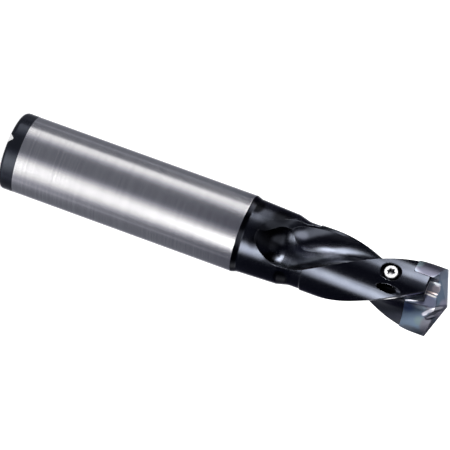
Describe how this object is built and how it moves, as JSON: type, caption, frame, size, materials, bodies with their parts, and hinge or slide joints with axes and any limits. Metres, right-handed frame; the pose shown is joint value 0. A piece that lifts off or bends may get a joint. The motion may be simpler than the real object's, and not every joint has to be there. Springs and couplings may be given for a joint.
{
  "type": "replaceable tip drill",
  "caption": "Fluted drill with a plain round shank, a dark body and an exchangeable coated cutting head that a small side screw clamps.",
  "frame": {"origin": "middle of the shank's rear face, on the drill's axis", "axes": "+Z along the drill's axis from the shank to the cutting tip; +Y towards the side that carries the clamp screw, 65.5 degrees from +X; the drill stands on its shank's rear face"},
  "size_m": [0.016, 0.016, 0.0927],
  "materials": {
    "black_steel": "blackened and polished, with a bright ground band round the shank",
    "coated_carbide": "satin blue-grey coating on ground carbide",
    "bright_steel": "bright turned steel"
  },
  "bodies": {
    "root": {"holder": "black_steel", "drill_head": "coated_carbide", "clamp_screw": "bright_steel"}
  },
  "joints": []
}
